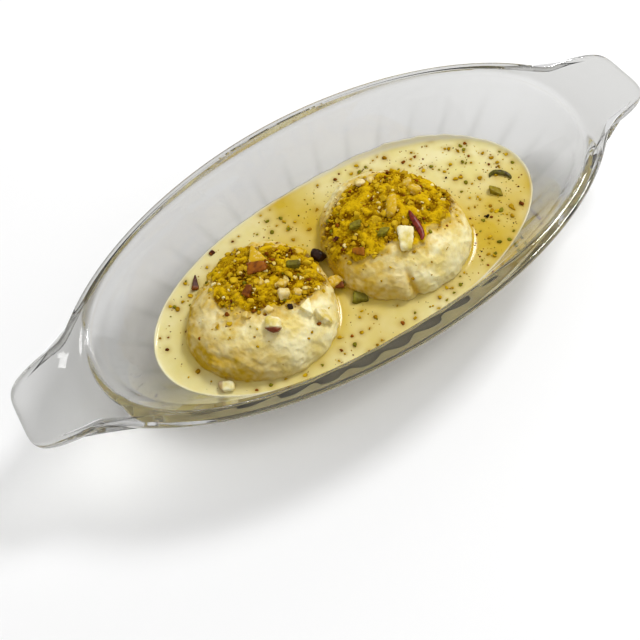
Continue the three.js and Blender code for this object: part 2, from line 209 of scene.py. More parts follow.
quarter_count = GLASS_AROUND // 4
rim_plan = whole_ring(rim_quarter(even_steps(rim_quarter, quarter_count, CORNER_WEIGHT)))
wall_steps = even_steps(lambda t: oval_quarter(WALL_TOP, t), quarter_count)
mouth_plan = whole_ring(oval_quarter(MOUTH, wall_steps))
foot_plan = whole_ring(oval_quarter(FOOT, wall_steps))
wall_plan = whole_ring(oval_quarter(WALL_TOP, wall_steps))
off_groove = np.sin(np.arange(GLASS_AROUND) / AROUND_PER_FLUTE * math.pi)
panel_rise = np.sqrt((off_groove ** 2 + GROOVE_SOFTNESS) / (1 + GROOVE_SOFTNESS))
panel_groove = -FLUTE_DEPTH * (1 - panel_rise) * 1.5
# a grey line painted at each groove, fading in and out up the wall: painted shade
groove_painted_shade_line = np.exp(-(off_groove / GROOVE_PAINTED_SHADE_WIDTH) ** 2)

# How much a point of the wall's head, and of the rim, belongs to the long sides.
rolls = range(-GAP_SMOOTHING, GAP_SMOOTHING + 1)
gaps = np.linalg.norm(wall_plan[:, None] - rim_plan[None], axis=2)
gap_of_wall = np.mean([np.roll(gaps.min(axis=1), k) for k in rolls], axis=0)
gap_of_rim = np.mean([np.roll(gaps.min(axis=0), k) for k in rolls], axis=0)
side_of_wall = 1 - smooth_step(*SIDE_GAP, gap_of_wall)
side_of_rim = 1 - smooth_step(*SIDE_GAP, gap_of_rim)
wall_head_plan = offset_ring(wall_plan, side_of_wall * (gap_of_wall - SIDE_ROUND))
thickness = TAB_THICKNESS + (SIDE_THICKNESS - TAB_THICKNESS) * side_of_wall
rim_thickness = TAB_THICKNESS + (SIDE_THICKNESS - TAB_THICKNESS) * side_of_rim
rim_round = RIM_ROUND + (SIDE_ROUND - RIM_ROUND) * side_of_rim


def rise_and_fall(steps, value):
    """0 up to 1 between the first two steps, and back to 0 between the last two."""
    return smooth_step(*steps[:2], value) * (1 - smooth_step(*steps[2:], value))


# Rings from the middle of the foot out, up the outside, over the rim and down inside.
glass_rings = [lift(offset_ring(foot_plan, -FOOT_HOLLOW_EDGE) * share, FOOT_HOLLOW) for share in (0.3, 0.8)]
for share in np.linspace(0, 1, 7):
    inset = FOOT_HOLLOW_EDGE + (FOOT_LINE - FOOT_HOLLOW_EDGE) * share
    glass_rings.append(lift(offset_ring(foot_plan, -inset), FOOT_HOLLOW * (1 - smooth_step(0, 1, share))))
for across, up in quarter_turn(5)[1:]:
    glass_rings.append(lift(offset_ring(foot_plan, -FOOT_LINE * (1 - up)), FOOT_ROUND * (1 - across)))
rings_below = len(glass_rings)
groove_painted_shades = []
for share in np.linspace(0.03, 1, WALL_STEPS):
    plan = foot_plan + (wall_head_plan - foot_plan) * share
    height = FOOT_ROUND + (rim_height_at(plan[:, 0]) - thickness - FOOT_ROUND) * share
    grooved = offset_ring(plan, panel_groove * rise_and_fall(GROOVE_RISE, share))
    glass_rings.append(lift(grooved, height))
    groove_painted_shades.append(groove_painted_shade_line * rise_and_fall(GROOVE_PAINTED_SHADE_RISE, share))
for across, up in quarter_turn(EDGE_STEPS):
    plan = offset_ring(rim_plan, -rim_round * (1 - up))
    glass_rings.append(lift(plan, rim_height_at(plan[:, 0]) - rim_thickness + rim_round * (1 - across)))
for across, up in quarter_turn(EDGE_STEPS):
    plan = offset_ring(rim_plan, -rim_round * (1 - across))
    glass_rings.append(lift(plan, rim_height_at(plan[:, 0]) - rim_round * (1 - up)))
outer_edge = glass_rings[-1]
inner_plan = offset_ring(mouth_plan, RIM_ROUND)
inner_edge = lift(inner_plan, rim_height_at(inner_plan[:, 0]))
for share in (0.06, 0.3, 0.7, 0.94):
    glass_rings.append(outer_edge + (inner_edge - outer_edge) * share)
for across, up in quarter_turn(EDGE_STEPS):
    plan = offset_ring(mouth_plan, RIM_ROUND * (1 - up))
    glass_rings.append(lift(plan, rim_height_at(plan[:, 0]) - RIM_ROUND * (1 - across)))
wall_foot = FLOOR + FLOOR_ROUND_HEIGHT
wall_head = rim_height_at(MOUTH[0]) - RIM_ROUND
for z in wall_head + (wall_foot - wall_head) * np.linspace(0.06, 0.94, 12):
    glass_rings.append(lift(whole_ring(oval_quarter(inside_at(z), wall_steps)), z))
glass_rings += floor_rings(wall_steps, 12, 0)
glass_rings.append(glass_rings[-1] * (0.6, 0.6, 1))
glass = skin("pressed_glass_boat", (0, 0, FOOT_HOLLOW), glass_rings, (0, 0, FLOOR))
groove_painted_shade_shares = np.zeros(len(glass.data.vertices))
first = 1 + rings_below * GLASS_AROUND
groove_painted_shade_shares[first:first + WALL_STEPS * GLASS_AROUND] = np.concatenate(groove_painted_shades)
keep_on_points(glass, "groove", groove_painted_shade_shares)


def colour(hex_code):
    """An sRGB hex value as the linear colour that the shader wants."""
    parts = [int(hex_code[k:k + 2], 16) / 255 for k in (1, 3, 5)]
    return (*(p / 12.92 if p <= 0.04045 else ((p + 0.055) / 1.055) ** 2.4 for p in parts), 1.0)


def new_material(name):
    material = bpy.data.materials.new(name)
    material.use_nodes = True
    material.node_tree.nodes.clear()
    return material


def add(material, kind, settings=None, links=None):
    """Adds a shader node with its properties, its input values and the links into it. A
    link comes from an output, or from a node's main one. A mix is always of two colours:
    input 0 is the share of the second, inputs 6 and 7 are the two, output 2 is the mix."""
    node = material.node_tree.nodes.new("ShaderNode" + kind)
    if kind == "Mix":
        node.data_type = "RGBA"
    for key, value in (settings or {}).items():
        if isinstance(key, str) and hasattr(node, key):
            setattr(node, key, value)
        else:
            node.inputs[key].default_value = value
    for key, source in (links or {}).items():
        if hasattr(source, "outputs"):
            source = source.outputs[2 if source.bl_idname == "ShaderNodeMix" else 0]
        material.node_tree.links.new(source, node.inputs[key])
    return node


# Fire-polished soda-lime glass: clear, with the slow waves of pressing that bend what
# shows through it. Its grey is painted shade: faint face-on, deeper edge-on and at the
# grooves. Lamps shine through it.
pressed_glass = new_material("pressed_soda_lime_glass")
place = add(pressed_glass, "TexCoord").outputs["Object"]
waves = add(pressed_glass, "TexNoise", {"Scale": 1 / (13 * MM), "Detail": 1.0}, {"Vector": place})
wavy = add(pressed_glass, "Bump", {"Strength": 0.5, "Distance": 0.1 * MM}, {"Height": waves})
edge_on = add(pressed_glass, "LayerWeight", {"Blend": 0.5}).outputs["Facing"]
# faint grey face-on, deeper grey edge-on: painted shade
painted_shade_grey = add(pressed_glass, "Mix", {6: colour("#DEDEDD"), 7: colour("#A9A8A3")}, {0: edge_on})
groove = add(pressed_glass, "Attribute", {"attribute_name": "groove"}).outputs["Fac"]
# greyer at the grooves: painted shade
painted_shade_tint = add(pressed_glass, "Mix", {7: colour("#C4C4C2")}, {0: groove, 6: painted_shade_grey})
body = add(pressed_glass, "BsdfPrincipled", {
    "Roughness": 0.015,
    "IOR": 1.5,
    "Transmission Weight": 1.0,
}, {"Base Color": painted_shade_tint, "Normal": wavy})
lamp_side = add(pressed_glass, "BsdfTransparent", {"Color": colour("#A6A6A3")})
ray = add(pressed_glass, "LightPath")
surface = add(pressed_glass, "MixShader", {}, {0: ray.outputs["Is Shadow Ray"], 1: body, 2: lamp_side})
add(pressed_glass, "OutputMaterial", {}, {"Surface": surface})
glass.data.materials.append(pressed_glass)
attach(glass, "root")
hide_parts("glass_dish")


# ------------------------ the curd patties
# Two patties of pressed fresh curd, rolled by hand and simmered in syrup until they
# swell. Saffron milk has soaked in low down, ground nuts stain the top, and the skin
# has fine curdled lumps, drawn-out threads and the fold where a ball was closed.

PATTIES = {
    # lobes: waves in the outline, two and then three round it, as cosine and sine
    # soak and shade: the side away from the soft box, golden from milk soaked in and from painted shade,
    # cosines from there, heights where it ends
    "left": {
        "x": -34.5, "y": -1.9, "radius": 25.0, "lobes": (0.5, 0.6, -1.2, 0.1), "seed": 40,
        "dust_middle": (3.0, 4.0),
        # how far the ground nuts reach from there, every 30 degrees from -180
        "dust_reach": (14, 13.5, 11, 12, 15.5, 20, 20.5, 18.5, 17, 19.5, 20, 17),
        "soak_and_shade_side": 180.0, "soak_and_shade_spread": (-0.3, 0.9), "soak_and_shade_top": (5.5, 12.5),
    },
    "right": {
        "x": 17.4, "y": -1.2, "radius": 25.4, "lobes": (-0.9, -0.6, -0.1, -0.8), "seed": 80,
        "dust_middle": (0.0, 2.0),
        "dust_reach": (22.5, 18, 14, 15, 15.5, 22.5, 25, 25, 19.5, 19, 19.7, 22.5),
        "soak_and_shade_side": 190.0, "soak_and_shade_spread": (0.2, 0.9), "soak_and_shade_top": (4.5, 13.0),
    },
}
PATTY_DOME = 12.0
PATTY_SQUARENESS = 2.3
BELLY_SQUARENESS = 3.2
BELLY_DEPTH = CREAM_LEVEL - FLOOR - 0.3
LUMP_HEIGHT = 0.45
PATTY_AROUND = 400
PATTY_STEPS = (24, 150)  # rings below and above the cream
# Fine relief: how wide its features are, and how high.
SOFT_LUMPS = (4.5, 0.25)
KNOBS = (2.6, 0.3)
PORES = (0.9, 0.1)
DUST_HEAPS = (2.7, 1.3)
DUST_GRIT = (1.0, 0.35)
DUST_DEPTH = 0.5  # of the layer of ground nuts
DUST_EDGE = (-1.2, 1.4)  # from bare curd to dust, inside the ragged edge
DUST_LOW = (0.5, 2.5)  # the same, up from the milk
STAIN_EDGE = (-5.0, 0.5)
STAIN_DEPTH = 0.85
SPOT_SIZE = 2.4  # damp yellow spots outside the dust
# The fold and the threads: places round the patty are in degrees, and where they fade
# in and out is given round it or up from the milk.
FOLD = {"angle": -107.0, "width": 2.8, "depth": 1.2, "up": (-1, 1.5, 7, 9)}
FOLD_LIP = {"from_fold": -9.0, "width": 6.0, "height": 0.6}
THREADS = {"around": (-172, -158, -126, -112), "up": (0.3, 2, 7, 9), "width": 1.3, "height": 1.0}


def value_noise(points, seed):
    """Smooth noise from -1 to 1 at each point, one feature a unit, the same each run."""
    cell = np.floor(points).astype(np.int64)
    part = points - cell
    part = part * part * (3 - 2 * part)
    total = np.zeros(len(points))
    for corner in range(8):
        bit = np.array([corner & 1, corner >> 1 & 1, corner >> 2 & 1])
        key = (cell + bit).astype(np.uint64)
        mixed = key[:, 0] * np.uint64(0x9E3779B1) ^ key[:, 1] * np.uint64(0x85EBCA77)
        mixed ^= key[:, 2] * np.uint64(0xC2B2AE3D) ^ np.uint64(seed * 7919 + 17)
        for shift, factor in ((15, 0x2C1B3C6D), (12, 0x297A2D39)):
            mixed ^= mixed >> np.uint64(shift)
            mixed = mixed * np.uint64(factor) & np.uint64(0xFFFFFFFF)
        mixed ^= mixed >> np.uint64(15)
        weight = np.prod(np.where(bit, part, 1 - part), axis=1)
        total += weight * (mixed.astype(float) / 0xFFFFFFFF * 2 - 1)
    return total


def rough_noise(points, size, seed, octaves=3):
    """Noise with finer and finer detail, its largest features size millimetres wide."""
    total = np.zeros(len(points))
    for k in range(octaves):
        total += value_noise(points / size * 2.0 ** k + 31.7 * k, seed + k) / 2.0 ** k
    return total / 1.6


def relief(points, look, seed):
    """Lumps and hollows at the points, of the width and height in look."""
    width, height = look
    return height * rough_noise(points, width, seed, 2)


def patty_radius(patty, angle):
    c2, s2, c3, s3 = patty["lobes"]
    two = c2 * np.cos(2 * angle) + s2 * np.sin(2 * angle)
    three = c3 * np.cos(3 * angle) + s3 * np.sin(3 * angle)
    return patty["radius"] + two + three


def curd_lumps(x, y, z):
    broad = np.sin(0.42 * x + 0.3 * z) * np.cos(0.38 * y - 0.2 * x)
    fine = np.sin(0.71 * y + 0.5 * x + 1.3) * np.cos(0.66 * z + 0.3 * y)
    return (broad + 0.6 * fine) / 1.6


def dome_height(patty, x, y):
    """Height of a patty's skin above the cream, at a place from its middle."""
    share = np.minimum(np.hypot(x, y) / patty_radius(patty, np.arctan2(y, x)), 0.999)
    plain = PATTY_DOME * (1 - share ** PATTY_SQUARENESS) ** (1 / PATTY_SQUARENESS)
    return plain + LUMP_HEIGHT * curd_lumps(x + patty["x"], y + patty["y"], plain)


def dust_margin(patty, x, y):
    """How far inside the ragged edge of the ground nuts a place is, in millimetres."""
    mx, my = patty["dust_middle"]
    reaches = patty["dust_reach"] + patty["dust_reach"][:1]
    bearings = np.linspace(-math.pi, math.pi, len(reaches))
    reach = np.interp(np.arctan2(y - my, x - mx), bearings, reaches)
    flat = np.stack([x, y, np.full_like(x, patty["seed"])], axis=1)
    ragged = 4.0 * rough_noise(flat, 6.0, 3) + relief(flat, (2.2, 2.2), 7)
    return reach + ragged - np.hypot(x - mx, y - my)


def patty_rings(patty):
    """The patty's skin without its fine relief, about its middle at the cream's level."""
    angle = np.arange(PATTY_AROUND) / PATTY_AROUND * 2 * math.pi
    plan = patty_radius(patty, angle)
    below, above = PATTY_STEPS
    tilts = np.concatenate([np.linspace(-0.5, 0, below + 1)[1:], np.linspace(0, 0.5, above + 1)[1:-1]])
    rings = []
    for tilt in tilts * math.pi:
        power = 2 / (PATTY_SQUARENESS if tilt > 0 else BELLY_SQUARENESS)
        height = PATTY_DOME if tilt > 0 else BELLY_DEPTH
        reach = math.cos(tilt) ** power
        rise = math.copysign(abs(math.sin(tilt)) ** power, tilt)
        x = plan * reach * np.cos(angle)
        y = plan * reach * np.sin(angle)
        lump = LUMP_HEIGHT * curd_lumps(x + patty["x"], y + patty["y"], height * rise) * (tilt > 0)
        radius = (plan + lump * reach) * reach
        ring = np.stack([radius * np.cos(angle), radius * np.sin(angle)], axis=1)
        rings.append(lift(ring, height * rise + lump * rise))
    return rings


def read_points(piece, what="co"):
    values = np.zeros(len(piece.data.vertices) * 3)
    piece.data.vertices.foreach_get(what, values)
    return values.reshape(-1, 3)


# Soaked curd: a wet, crumbly milk protein that light goes a little way into. It is
# ivory, golden where the milk has soaked in low down, golden as painted shade on the
# side away from the soft box, in the fold's crease and between the threads, and
# mustard under the ground nuts, dark brown in the hollows between their heaps as
# painted shade.
soaked_curd = new_material("soaked_curd")
place = add(soaked_curd, "TexCoord").outputs["Object"]
blotches = add(soaked_curd, "TexNoise", {"Scale": 1 / (6 * MM), "Detail": 3.0}, {"Vector": place})
clumps = add(soaked_curd, "TexNoise", {"Scale": 1 / (2.6 * MM), "Detail": 4.0}, {"Vector": place})
grain = add(soaked_curd, "TexNoise", {"Scale": 1 / (0.7 * MM), "Detail": 3.0}, {"Vector": place})
blotch_share = add(soaked_curd, "MapRange", {"From Min": 0.38, "From Max": 0.66}, {"Value": blotches})
curd = add(soaked_curd, "Mix", {6: colour("#F0E6B4"), 7: colour("#E0CC7E")}, {0: blotch_share})
# golden soak, partly painted shade on the side away from the soft box; golden stain, partly painted shade in
# the crease and between the threads
for attribute, tint in (("soak_and_shade", "#BE9808"), ("stain_and_crease_shade", "#CCA410")):
    share = add(soaked_curd, "Attribute", {"attribute_name": attribute}).outputs["Fac"]
    curd = add(soaked_curd, "Mix", {7: colour(tint)}, {0: share, 6: curd})
# painted shade: the dust is dark brown in the hollows between its heaps and mustard on their tops, mixed with
# its own patchy colour
heap_height_painted_shade = add(soaked_curd, "Attribute", {"attribute_name": "heap_height_painted_shade"}).outputs["Fac"]
heaped = add(soaked_curd, "Math", {"operation": "MULTIPLY_ADD", 1: 0.6}, {0: heap_height_painted_shade, 2: clumps})
gritty = add(soaked_curd, "Math", {"operation": "MULTIPLY_ADD", 1: 1.1}, {0: grain, 2: heaped})
clump_share = add(soaked_curd, "MapRange", {"From Min": 1.05, "From Max": 1.65}, {"Value": gritty})
powder = add(soaked_curd, "Mix", {6: colour("#724A00"), 7: colour("#CCA60E")}, {0: clump_share})
dust = add(soaked_curd, "Attribute", {"attribute_name": "dust"}).outputs["Fac"]
skin_colour = add(soaked_curd, "Mix", {}, {0: dust, 6: curd, 7: powder})
dull = add(soaked_curd, "MapRange", {"To Min": 0.42, "To Max": 0.85}, {"Value": dust})
gloss = add(soaked_curd, "MapRange", {"To Min": 0.3, "To Max": 0.03}, {"Value": dust})
grainy = add(soaked_curd, "Bump", {"Strength": 0.6, "Distance": 0.2 * MM}, {"Height": grain})
body = add(soaked_curd, "BsdfPrincipled", {
    "IOR": 1.36,
    "Subsurface Weight": 0.3,
    "Subsurface Radius": (1.0, 0.85, 0.4),
    "Subsurface Scale": 2.0 * MM,
}, {"Base Color": skin_colour, "Roughness": dull, "Specular IOR Level": gloss, "Normal": grainy})
add(soaked_curd, "OutputMaterial", {}, {"Surface": body})

for side, patty in PATTIES.items():
    piece = skin("curd_patty_" + side, (0, 0, -BELLY_DEPTH), patty_rings(patty), (0, 0, PATTY_DOME))
    seed = patty["seed"]
    co = read_points(piece) / MM
    up = co[:, 2]
    out = read_points(piece, "normal")
    place = co + (patty["x"], patty["y"], 0)
    margin = dust_margin(patty, co[:, 0], co[:, 1])
    dust = smooth_step(*DUST_EDGE, margin) * smooth_step(*DUST_LOW, up)
    spots = smooth_step(0.16, 0.42, rough_noise(place, SPOT_SIZE, 11, 2))
    spots *= smooth_step(-13, -2, margin)
    seeped = STAIN_DEPTH * smooth_step(*STAIN_EDGE, margin + relief(place, (2.2, 3.0), 19))
    stain_and_crease_shade = np.maximum(seeped, 0.6 * spots) * smooth_step(0.5, 3, up)
    knobs = KNOBS[1] * (1 - 2.4 * np.abs(rough_noise(place, KNOBS[0], seed + 3, 2)))
    bare = relief(place, SOFT_LUMPS, seed) + knobs + relief(place, PORES, 9)
    heaps = rough_noise(place, DUST_HEAPS[0], seed + 5, 2)
    heaped = DUST_DEPTH + DUST_HEAPS[1] * heaps + np.abs(relief(place, DUST_GRIT, seed + 7))
    push = smooth_step(-1.5, 0.8, up) * (bare * (1 - dust) + heaped * dust)
    around = np.degrees(np.arctan2(co[:, 1], co[:, 0]))
    if side == "left":
        drawn = np.stack([0.8 * place[:, 0] + 0.45 * place[:, 1], 0.12 * place[:, 1], 0.3 * up], axis=1)
        strands = rough_noise(drawn, THREADS["width"], 61, 2)
        where = rise_and_fall(THREADS["around"], around) * rise_and_fall(THREADS["up"], up)
        push += where * THREADS["height"] * strands
        # painted shade: golden in the hollows between the threads
        stain_and_crease_shade = np.maximum(stain_and_crease_shade, 0.7 * where * smooth_step(0.05, 0.5, -strands))
    else:
        where = rise_and_fall(FOLD["up"], up)
        off_fold = around - FOLD["angle"] + 0.8 * (up - 4)
        crease = np.exp(-(off_fold / FOLD["width"]) ** 2)
        lip = np.exp(-((off_fold - FOLD_LIP["from_fold"]) / FOLD_LIP["width"]) ** 2)
        push += where * (FOLD_LIP["height"] * lip - FOLD["depth"] * crease)
        # painted shade: golden in the fold's crease
        stain_and_crease_shade = np.maximum(stain_and_crease_shade, 0.9 * where * crease)
    # golden low down: milk soaked in, and painted shade on the side away from the soft box; all round the
    # base it is the soak alone
    toward = np.cos(np.radians(around - patty["soak_and_shade_side"]))
    low = 1 - smooth_step(*patty["soak_and_shade_top"], up + relief(place, (5.0, 2.0), 23))
    soak_and_shade = smooth_step(*patty["soak_and_shade_spread"], toward) * low * (0.85 + relief(place, (1.7, 0.5), 29))
    soak_and_shade = np.maximum(soak_and_shade, 0.6 * (1 - smooth_step(-0.5, 1.8, up)))
    keep_on_points(piece, "dust", dust)
    # how high a place is on the heaps, which paints the dust's shade
    keep_on_points(piece, "heap_height_painted_shade", smooth_step(-0.35, 0.55, heaps))
    keep_on_points(piece, "stain_and_crease_shade", stain_and_crease_shade * (1 - dust))
    keep_on_points(piece, "soak_and_shade", np.clip(soak_and_shade, 0, 1))
    moved = (co + out * push[:, None] + (patty["x"], patty["y"], CREAM_LEVEL)) * MM
    piece.data.vertices.foreach_set("co", moved.ravel())
    piece.data.update()
    piece.data.materials.append(soaked_curd)
    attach(piece, "root")
    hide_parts("patty_" + side)


# ------------------------ the saffron milk
# Thickened milk with saffron, poured round the patties to half their height. It wets
# the glass and the curd, so its edge climbs at both and leaves a film on the far wall.
# It reaches just into the glass and the curd, so that no air shows between them.

REACH_INTO_GLASS = 0.35
REACH_INTO_CURD = 0.6
WALL_CLIMB = 0.8
FILM_CLIMB = 1.9  # more at the far side, right of the middle
FILM_MIDDLE = 52.0  # degrees round the dish
FILM_WIDTH = 26.0
FILM_THICKNESS = 0.12
CURD_CLIMB = 0.6
RIPPLE = (9.0, 0.06)
CREAM_AROUND = 480
CREAM_INWARD = 110
POCKET_AROUND = 160


def beside_patties(x, y):
    """Distance outside the nearer patty, at places in the dish."""
    gaps = []
    for patty in PATTIES.values():
        u, v = x - patty["x"], y - patty["y"]
        gaps.append(np.hypot(u, v) - patty_radius(patty, np.arctan2(v, u)))
    return np.minimum(*gaps)


cream_steps = even_steps(lambda t: oval_quarter(CREAM_EDGE, t), CREAM_AROUND // 4)
wall_ring = whole_ring(oval_quarter(CREAM_EDGE, cream_steps))
bearing = np.degrees(np.arctan2(wall_ring[:, 1] * 2, wall_ring[:, 0]))
climb = WALL_CLIMB + FILM_CLIMB * np.exp(-((bearing - FILM_MIDDLE) / FILM_WIDTH) ** 2)
climb *= 1 + 0.35 * rough_noise(lift(wall_ring, 0), 5.0, 15)
cream_rings = floor_rings(cream_steps, 10, REACH_INTO_GLASS)[::-1]
slope = (np.hypot(*MOUTH[:2]) - np.hypot(*CREAM_EDGE[:2])) / (RIM_HEIGHT - CREAM_LEVEL) * 0.5
for share in (0.3, 0.7):
    z = FLOOR + FLOOR_ROUND_HEIGHT + (CREAM_LEVEL - FLOOR - FLOOR_ROUND_HEIGHT) * share
    plan = whole_ring(oval_quarter(inside_at(z), cream_steps))
    cream_rings.append(lift(offset_ring(plan, REACH_INTO_GLASS), z))
for share in (0.0, 0.5, 1.0):
    plan = offset_ring(wall_ring, REACH_INTO_GLASS + climb * share * slope)
    cream_rings.append(lift(plan, CREAM_LEVEL + climb * share))
film_ring = offset_ring(wall_ring, climb * slope - FILM_THICKNESS)
cream_rings.append(lift(film_ring, CREAM_LEVEL + climb))
for share in np.linspace(0, 1, CREAM_INWARD)[1:-1] ** 1.3:
    plan = film_ring * (1 - share)
    from_wall = np.hypot(*wall_ring.T) * share * 0.75
    from_curd = np.maximum(0, beside_patties(*plan.T))
    wetting = climb * np.exp(-from_wall / (0.25 + 0.5 * WALL_CLIMB))
    wetting += CURD_CLIMB * np.exp(-from_curd / 0.9)
    ripple = relief(lift(plan, 0), RIPPLE, 5) * smooth_step(0, 2, from_wall)
    cream_rings.append(lift(plan, CREAM_LEVEL + wetting + ripple))
cream = skin("saffron_milk_pool", (0, 0, FLOOR - REACH_INTO_GLASS), cream_rings, (0, 0, CREAM_LEVEL))

# The pockets that the patties stand in go right through the milk: shares of its depth,
# with the share of the patty's radius there.
POCKET_SECTION = ((-3.0, 0.8), (0.06, 0.8), (0.2, 0.9), (0.45, 0.97), (0.75, 0.995), (1.0, 1.0), (1.2, 0.99))
for side, patty in PATTIES.items():
    angle = np.arange(POCKET_AROUND) / POCKET_AROUND * 2 * math.pi
    radius = patty_radius(patty, angle) - REACH_INTO_CURD
    rings = []
    for depth_share, width_share in POCKET_SECTION:
        x = patty["x"] + radius * width_share * np.cos(angle)
        y = patty["y"] + radius * width_share * np.sin(angle)
        rings.append(lift(np.stack([x, y], axis=1), FLOOR + (CREAM_LEVEL - FLOOR) * depth_share))
    low_pole = (patty["x"], patty["y"], rings[0][0, 2])
    high_pole = (patty["x"], patty["y"], rings[-1][0, 2] + 0.5)
    plug = skin("plug", low_pole, rings, high_pole)
    cut = cream.modifiers.new("pocket", "BOOLEAN")
    cut.operation = "DIFFERENCE"
    cut.solver = "EXACT"
    cut.object = plug
    view = bpy.context.evaluated_depsgraph_get()
    cream.data = bpy.data.meshes.new_from_object(cream.evaluated_get(view))
    cream.modifiers.clear()
    bpy.data.objects.remove(plug)

# Saffron milk: wet, nearly opaque and pale yellow, deeper where saffron and nut dust
# steep by the patties, with painted shade in the gold close round them, whiter where
# only a film of it wets the glass, and lighter as painted light where it lies against
# the glass below its level.
saffron_milk = new_material("saffron_milk")
co = read_points(cream) / MM
from_curd = np.maximum(0, beside_patties(co[:, 0], co[:, 1]))
x, y, z = co.T
# deeper gold close round the patties: steeping, with painted shade where they meet the milk
steeping_and_painted_shade = 0.3 * np.exp(-from_curd / 4)
# at the near right, then between the patties and beyond, then close round the left patty and on the near left
# of the right one, steeping with painted shade
steeping_and_painted_shade += 0.85 * smooth_step(18, 42, x) * smooth_step(-10, 14, -y)
steeping_and_painted_shade += 0.5 * np.exp(-((x + 6) / 11) ** 2) * (1 + 0.7 * smooth_step(5, 25, y))
steeping_and_painted_shade += 0.35 * np.exp(-from_curd / 3) * smooth_step(0, 18, -(x - PATTIES["right"]["x"]) - y)
steeping_and_painted_shade *= 1 + 0.5 * rough_noise(co * (1, 1, 0), 9.0, 33)
keep_on_points(cream, "steeped_and_painted_shade", np.clip(steeping_and_painted_shade, 0, 1))
keep_on_points(cream, "film", smooth_step(0.25, 1.3, z - CREAM_LEVEL) * smooth_step(2, 4, from_curd))
# painted light: the milk is lighter and yellower where it lies against the glass below its level
keep_on_points(cream, "against_glass_painted_light", 1 - smooth_step(CREAM_LEVEL - 1.5, CREAM_LEVEL, z))
place = add(saffron_milk, "TexCoord").outputs["Object"]
clouds = add(saffron_milk, "TexNoise", {"Scale": 1 / (11 * MM), "Detail": 4.0}, {"Vector": place})
cloud_share = add(saffron_milk, "MapRange", {"From Min": 0.34, "From Max": 0.66}, {"Value": clouds})
milk = add(saffron_milk, "Mix", {6: colour("#EAE1AC"), 7: colour("#E0D48A")}, {0: cloud_share})
for attribute, tint in (("steeped_and_painted_shade", "#CAAC30"), ("halo", "#B08A14"), ("film", "#E9E4D0"),
                        ("against_glass_painted_light", "#FFEDB0")):
    share = add(saffron_milk, "Attribute", {"attribute_name": attribute}).outputs["Fac"]
    milk = add(saffron_milk, "Mix", {7: colour(tint)}, {0: share, 6: milk})
body = add(saffron_milk, "BsdfPrincipled", {
    "Roughness": 0.14,
    "IOR": 1.35,
    "Specular IOR Level": 0.45,
    "Subsurface Weight": 0.25,
    "Subsurface Radius": (1.0, 0.8, 0.4),
    "Subsurface Scale": 2.0 * MM,
}, {"Base Color": milk})
add(saffron_milk, "OutputMaterial", {}, {"Surface": body})
cream.data.materials.clear()
cream.data.materials.append(saffron_milk)
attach(cream, "root")
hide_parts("cream")


# ------------------------ the ground nuts
# Pistachio and almond, ground coarsely with saffron and strewn over the patties from
# above: angular mustard grains, paler almond, brown skins, green bits, dark specks.

GROUND_NUTS = {
    # shades of a grain, how many a patty, smallest and largest across, share strewn wide
    "mustard_grains": (("#865A02", "#D4AE12"), 700, (0.5, 1.5), 0.07),
    "mustard_lumps": (("#A07808", "#D6B420"), 120, (1.5, 3.0), 0.04),
    "almond_grains": (("#D0B040", "#EFE3A8"), 70, (0.7, 2.2), 0.04),
    "skin_grains": (("#4A1E04", "#96540C"), 70, (0.6, 2.0), 0.03),
    "green_grains": (("#5E5A0C", "#928A1C"), 30, (0.8, 2.0), 0.04),
    "dark_specks": (("#120A04", "#2E1C0A"), 44, (0.3, 0.8), 0.25),
}
WIDEST = 26.0  # no patty reaches further from its middle


def ball(detail, radius):
    """Points and triangles of a ball."""
    mesh = bmesh.new()
    bmesh.ops.create_icosphere(mesh, subdivisions=detail, radius=radius)
    points = np.array([v.co for v in mesh.verts])
    faces = np.array([[v.index for v in f.verts] for f in mesh.faces])
    mesh.free()
    return points, faces


def grain_shapes(count, detail, rng):
    """count broken grains about 1 across: balls cut flat by planes in random places."""
    base, faces = ball(detail, 0.5)
    grains = np.repeat(base[None], count, axis=0)
    for _ in range(6):
        normal = unit(rng.normal(size=(count, 3)))
        past = np.einsum("nvk,nk->nv", grains, normal) - rng.uniform(0.14, 0.4, count)[:, None]
        grains -= np.maximum(0, past)[:, :, None] * normal[:, None, :]
    return grains, faces


def strew(name, places, sizes, flatness, rng, material):
    """One mesh of many grains, each with its own turn and shade."""
    count = len(places)
    grains, faces = grain_shapes(count, 3 if sizes.max() > 2.4 else 2, rng)
    turns, _ = np.linalg.qr(rng.normal(size=(count, 3, 3)))
    turns *= np.sign(np.linalg.det(turns))[:, None, None]
    grains = np.einsum("nij,nvj->nvi", turns, grains) * sizes[:, None, None] * (1, 1, flatness)
    per_grain = grains.shape[1]
    all_faces = (faces[None] + np.arange(count)[:, None, None] * per_grain).reshape(-1, 3)
    piece = new_piece(name, (grains + places[:, None, :]).reshape(-1, 3), all_faces.tolist())
    keep_on_points(piece, "shade", np.repeat(rng.uniform(0, 1, count), per_grain))
    piece.data.materials.append(material)
    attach(piece, "root")
    return piece


